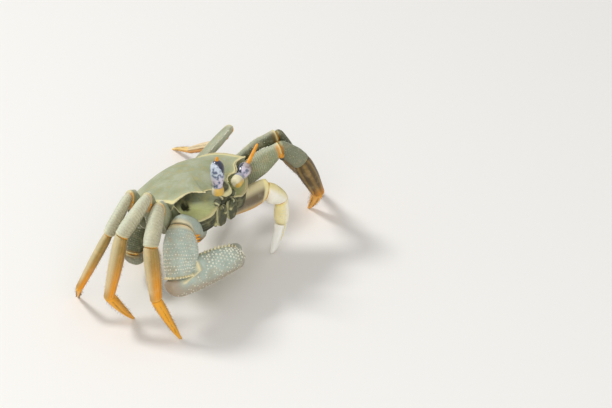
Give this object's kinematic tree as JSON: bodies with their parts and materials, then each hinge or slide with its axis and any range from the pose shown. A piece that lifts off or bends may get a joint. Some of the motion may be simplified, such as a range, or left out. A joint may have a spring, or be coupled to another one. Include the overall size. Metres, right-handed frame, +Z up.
{
  "type": "ghost crab",
  "caption": "Life-size horned ghost crab standing on its leg tips, large right claw folded under the mouth, stalked eyes up; a still display figure.",
  "frame": {"origin": "middle of the bounding box, on the ground the crab stands on", "axes": "+Z up, the crab faces -Y, its left side is +X"},
  "size_m": [0.1214, 0.0863, 0.054],
  "materials": {
    "carapace_shell": "matte, finely granular shell",
    "under_shell": "matte shell",
    "mouth_shell": "matte shell with short hairs",
    "eyestalk_skin": "satin skin",
    "cornea": "glossy",
    "horn": "satin",
    "large_claw_shell": "matte shell with pale tubercles",
    "small_claw_shell": "satin shell",
    "upper_leg_shell": "matte, cross-ridged shell",
    "shin_shell": "satin, lengthwise ribbed shell",
    "toe_shell": "satin, grooved shell"
  },
  "bodies": {
    "root": {"abdomen": "under_shell", "carapace": "carapace_shell", "left_claw_carpus": "small_claw_shell", "left_claw_finger": "small_claw_shell", "left_claw_merus": "small_claw_shell", "left_claw_palm": "small_claw_shell", "left_eye": "cornea", "left_eyestalk": "eyestalk_skin", "left_horn": "horn", "left_leg_1_carpus": "upper_leg_shell", "left_leg_1_coxa": "under_shell", "left_leg_1_dactyl": "toe_shell", "left_leg_1_merus": "upper_leg_shell", "left_leg_1_propodus": "shin_shell", "left_leg_2_carpus": "upper_leg_shell", "left_leg_2_coxa": "under_shell", "left_leg_2_dactyl": "toe_shell", "left_leg_2_merus": "upper_leg_shell", "left_leg_2_propodus": "shin_shell", "left_leg_3_carpus": "upper_leg_shell", "left_leg_3_coxa": "under_shell", "left_leg_3_dactyl": "toe_shell", "left_leg_3_merus": "upper_leg_shell", "left_leg_3_propodus": "shin_shell", "left_leg_4_carpus": "upper_leg_shell", "left_leg_4_coxa": "under_shell", "left_leg_4_dactyl": "toe_shell", "left_leg_4_merus": "upper_leg_shell", "left_leg_4_propodus": "shin_shell", "left_mouth_plate": "mouth_shell", "right_claw_carpus": "large_claw_shell", "right_claw_finger": "large_claw_shell", "right_claw_merus": "large_claw_shell", "right_claw_palm": "large_claw_shell", "right_eye": "cornea", "right_eyestalk": "eyestalk_skin", "right_horn": "horn", "right_leg_1_carpus": "upper_leg_shell", "right_leg_1_coxa": "under_shell", "right_leg_1_dactyl": "toe_shell", "right_leg_1_merus": "upper_leg_shell", "right_leg_1_propodus": "shin_shell", "right_leg_2_carpus": "upper_leg_shell", "right_leg_2_coxa": "under_shell", "right_leg_2_dactyl": "toe_shell", "right_leg_2_merus": "upper_leg_shell", "right_leg_2_propodus": "shin_shell", "right_leg_3_carpus": "upper_leg_shell", "right_leg_3_coxa": "under_shell", "right_leg_3_dactyl": "toe_shell", "right_leg_3_merus": "upper_leg_shell", "right_leg_3_propodus": "shin_shell", "right_leg_4_carpus": "upper_leg_shell", "right_leg_4_coxa": "under_shell", "right_leg_4_dactyl": "toe_shell", "right_leg_4_merus": "upper_leg_shell", "right_leg_4_propodus": "shin_shell", "right_mouth_plate": "mouth_shell", "sternum": "under_shell"}
  },
  "joints": []
}
